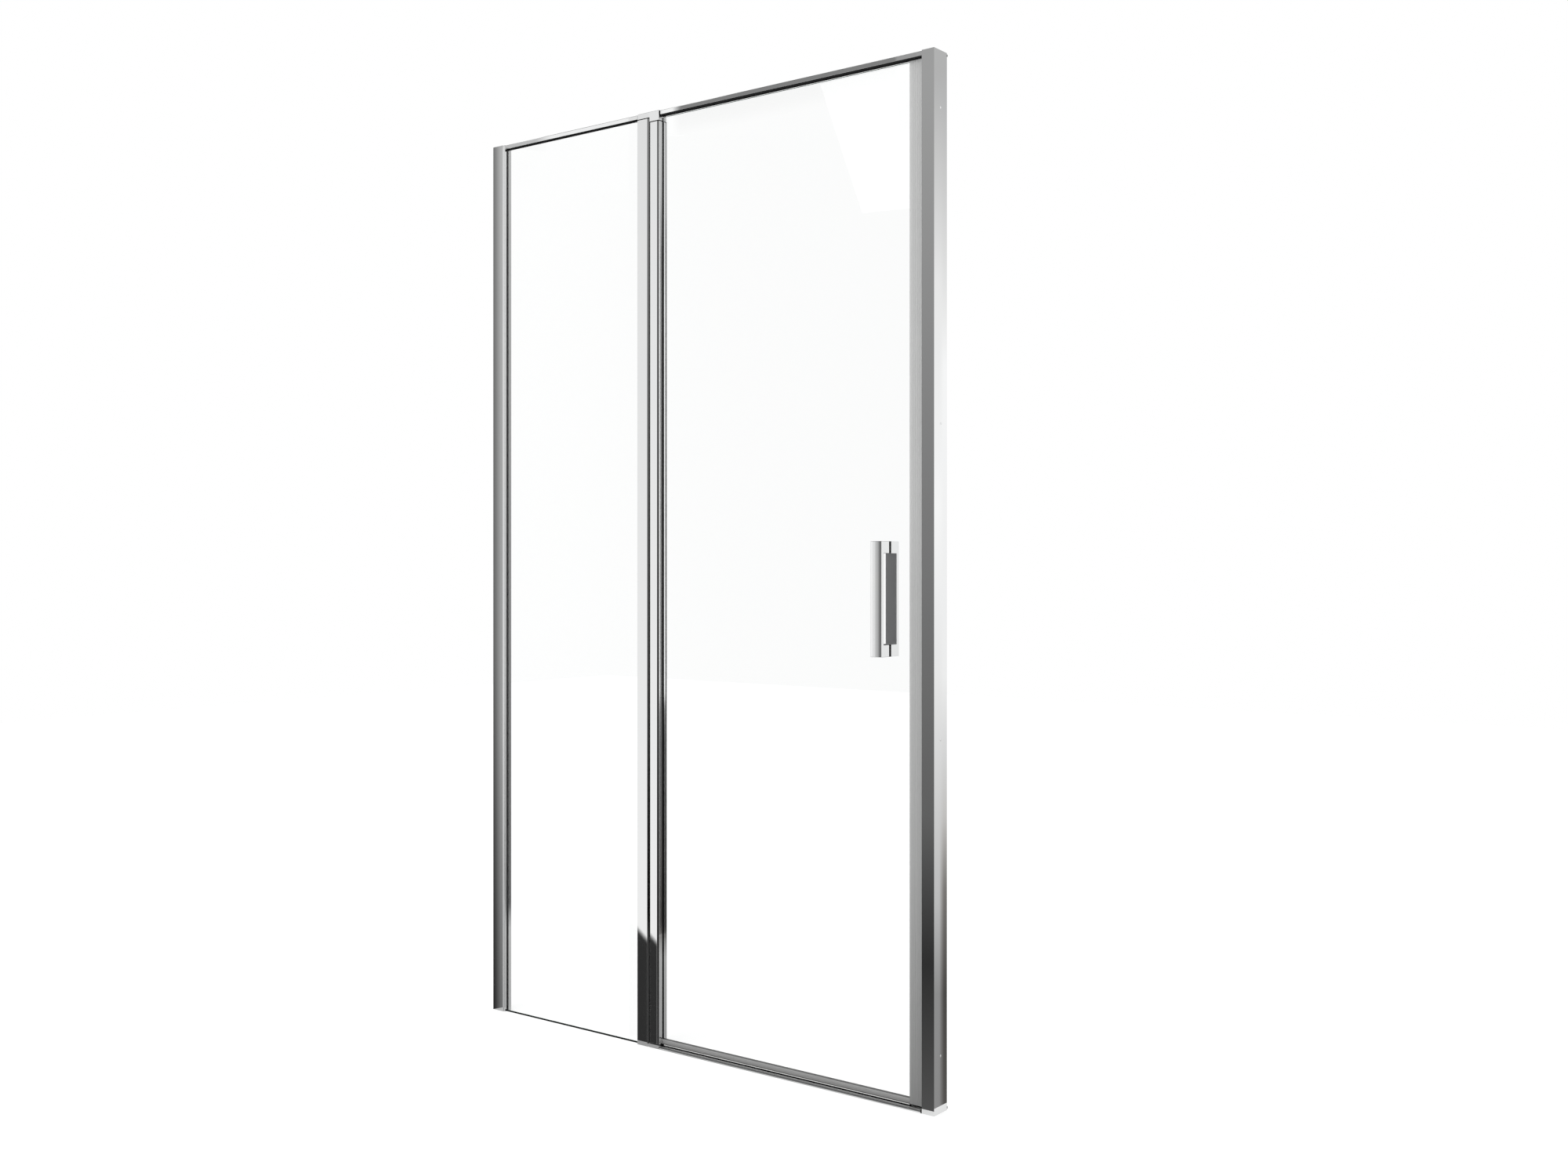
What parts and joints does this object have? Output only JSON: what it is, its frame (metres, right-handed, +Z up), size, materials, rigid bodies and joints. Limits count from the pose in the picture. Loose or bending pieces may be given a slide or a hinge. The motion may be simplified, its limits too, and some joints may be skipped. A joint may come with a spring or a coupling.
{
  "type": "hinged shower door",
  "caption": "Hinged shower door beside a fixed panel: clear glass in polished profiles, slim header rail, through-glass bow handle, clear edge and drip seals, low threshold bar.",
  "frame": {"origin": "front bottom corner of the left wall face, where the frame's front plane, the left wall and the tray meet", "axes": "+X along the front from the left wall to the right wall, +Y into the shower, +Z up"},
  "size_m": [1.18, 0.0636, 1.95],
  "materials": {
    "polished_profile": "mirror polished, chrome look",
    "chrome": "mirror polished",
    "steel": "satin",
    "clear_glass": "clear toughened glass, polished edges",
    "black_rubber": "matt",
    "black_plastic": "matt moulded",
    "clear_pvc": "frosted, translucent",
    "magnet": "flexible magnet strip"
  },
  "bodies": {
    "frame": {"left_wall_channel": "polished_profile", "left_glazing_profile": "polished_profile", "left_glazing_gasket": "black_rubber", "left_post_cap": "chrome", "left_clamp_screws": "steel", "left_header_tongue": "steel", "fixed_glass": "clear_glass", "fixed_glass_foot_seal": "black_rubber", "fixed_post": "polished_profile", "fixed_post_gasket": "black_rubber", "pivot_gap_seal": "black_rubber", "left_header_rail": "polished_profile", "left_header_gasket": "black_rubber", "header_joint_bar": "steel", "header_joint_screws": "steel", "right_header_rail": "polished_profile", "right_header_seal": "black_rubber", "top_bracket_pad": "black_rubber", "top_pivot_bracket": "chrome", "top_pivot_pin": "steel", "bottom_pivot_block": "chrome", "bottom_pivot_pin": "steel", "bottom_thrust_washer": "black_plastic", "pivot_bracket_screws": "steel", "right_wall_channel": "polished_profile", "strike_profile": "polished_profile", "strike_seal": "clear_pvc", "strike_magnet": "magnet", "right_head_block": "black_plastic", "right_post_cap": "chrome", "right_clamp_screws": "steel", "threshold_bar": "polished_profile", "threshold_left_cap": "chrome", "threshold_right_cap": "chrome"},
    "door": {"door_pivot_profile": "polished_profile", "top_pivot_bush": "black_plastic", "bottom_pivot_bush": "black_plastic", "door_glass": "clear_glass", "door_glass_gasket": "black_rubber", "door_edge_seal": "clear_pvc", "door_magnet": "magnet", "door_drip_seal": "clear_pvc", "handle_outer": "chrome", "handle_inner": "chrome", "handle_pads": "black_rubber", "handle_sleeves": "black_plastic", "handle_bolts": "steel", "handle_bolt_caps": "chrome"}
  },
  "joints": [
    {"name": "door_hinge", "type": "hinge", "parent": "frame", "child": "door", "pos_m": [0.4887, 0.0076, 0.01], "axis": [0, 0, 1], "range_deg": [-100, 0]}
  ]
}
